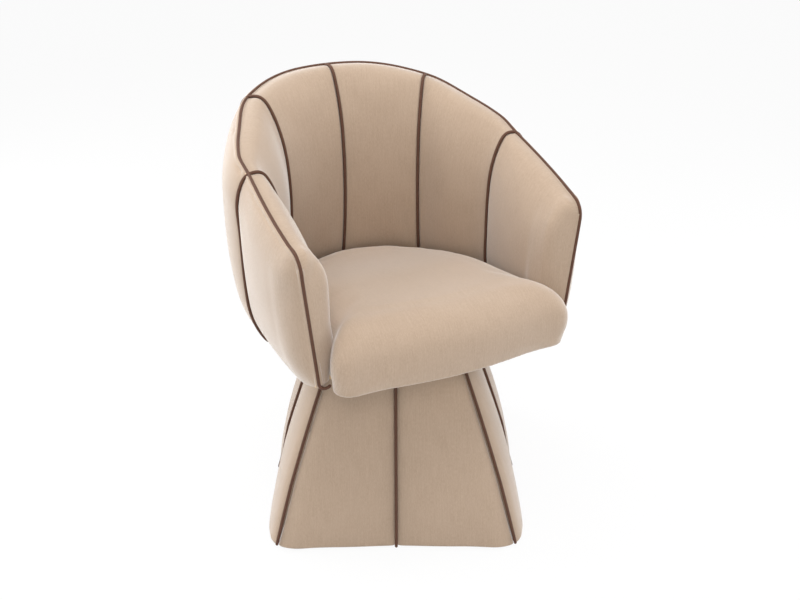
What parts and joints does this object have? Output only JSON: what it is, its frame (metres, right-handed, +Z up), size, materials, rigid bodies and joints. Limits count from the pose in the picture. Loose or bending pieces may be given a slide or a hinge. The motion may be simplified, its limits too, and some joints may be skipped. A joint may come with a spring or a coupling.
{
  "type": "swivel armchair",
  "caption": "Upholstered tub armchair of padded petals with corded seams and a crowned seat cushion, turning on a swivel plate over a square tapered upholstered base.",
  "frame": {"origin": "on the floor under the swivel axis, in the middle of the base", "axes": "+Z up along the swivel axis, the front of the base faces -Y; the seat rests turned 25 degrees about +Z"},
  "size_m": [0.6197, 0.6573, 0.7641],
  "materials": {
    "cover_fabric": "matte",
    "piping_fabric": "satin",
    "plywood": "matte",
    "zinc_steel": "satin",
    "bearing_steel": "polished",
    "black_cloth": "matte",
    "black_nylon": "matte",
    "firm_foam": "matte"
  },
  "bodies": {
    "base": {"base_bottom_board": "plywood", "base_corner_blocks": "plywood", "base_corner_piping": "piping_fabric", "base_dust_cover": "black_cloth", "base_front_cover_a": "cover_fabric", "base_front_cover_b": "cover_fabric", "base_front_panel": "plywood", "base_glides": "black_nylon", "base_left_cover_a": "cover_fabric", "base_left_cover_b": "cover_fabric", "base_left_panel": "plywood", "base_middle_piping": "piping_fabric", "base_rear_cover_a": "cover_fabric", "base_rear_cover_b": "cover_fabric", "base_rear_panel": "plywood", "base_right_cover_a": "cover_fabric", "base_right_cover_b": "cover_fabric", "base_right_panel": "plywood", "base_top_board": "plywood", "base_top_screws": "zinc_steel", "lower_plate_screws": "zinc_steel", "lower_swivel_plate": "zinc_steel", "spindle_nut": "zinc_steel", "spindle_washer": "zinc_steel", "swivel_spindle": "zinc_steel"},
    "ball_ring": {"ball_cage": "zinc_steel", "bearing_balls": "bearing_steel"},
    "seat": {"inner_left_arm": "cover_fabric", "inner_left_back": "cover_fabric", "inner_left_side": "cover_fabric", "inner_right_arm": "cover_fabric", "inner_right_back": "cover_fabric", "inner_right_side": "cover_fabric", "inner_seam_piping": "piping_fabric", "outer_left_arm": "cover_fabric", "outer_left_back": "cover_fabric", "outer_left_side": "cover_fabric", "outer_right_arm": "cover_fabric", "outer_right_back": "cover_fabric", "outer_right_side": "cover_fabric", "outer_seam_piping": "piping_fabric", "rim_piping": "piping_fabric", "seat_board": "plywood", "seat_core": "firm_foam", "seat_cushion": "cover_fabric", "seat_dust_cover": "black_cloth", "tub_wall": "plywood", "upper_plate_bolts": "zinc_steel", "upper_swivel_plate": "zinc_steel"}
  },
  "joints": [
    {"name": "seat_swivel", "type": "hinge", "parent": "base", "child": "seat", "pos_m": [0, 0, 0.338], "axis": [0, 0, 1], "continuous": true},
    {"name": "cage_spin", "type": "hinge", "parent": "base", "child": "ball_ring", "pos_m": [0, 0, 0.338], "axis": [0, 0, 1], "continuous": true}
  ],
  "couplings": [
    {"joint": "cage_spin", "follows": "seat_swivel", "ratio": 0.5}
  ]
}
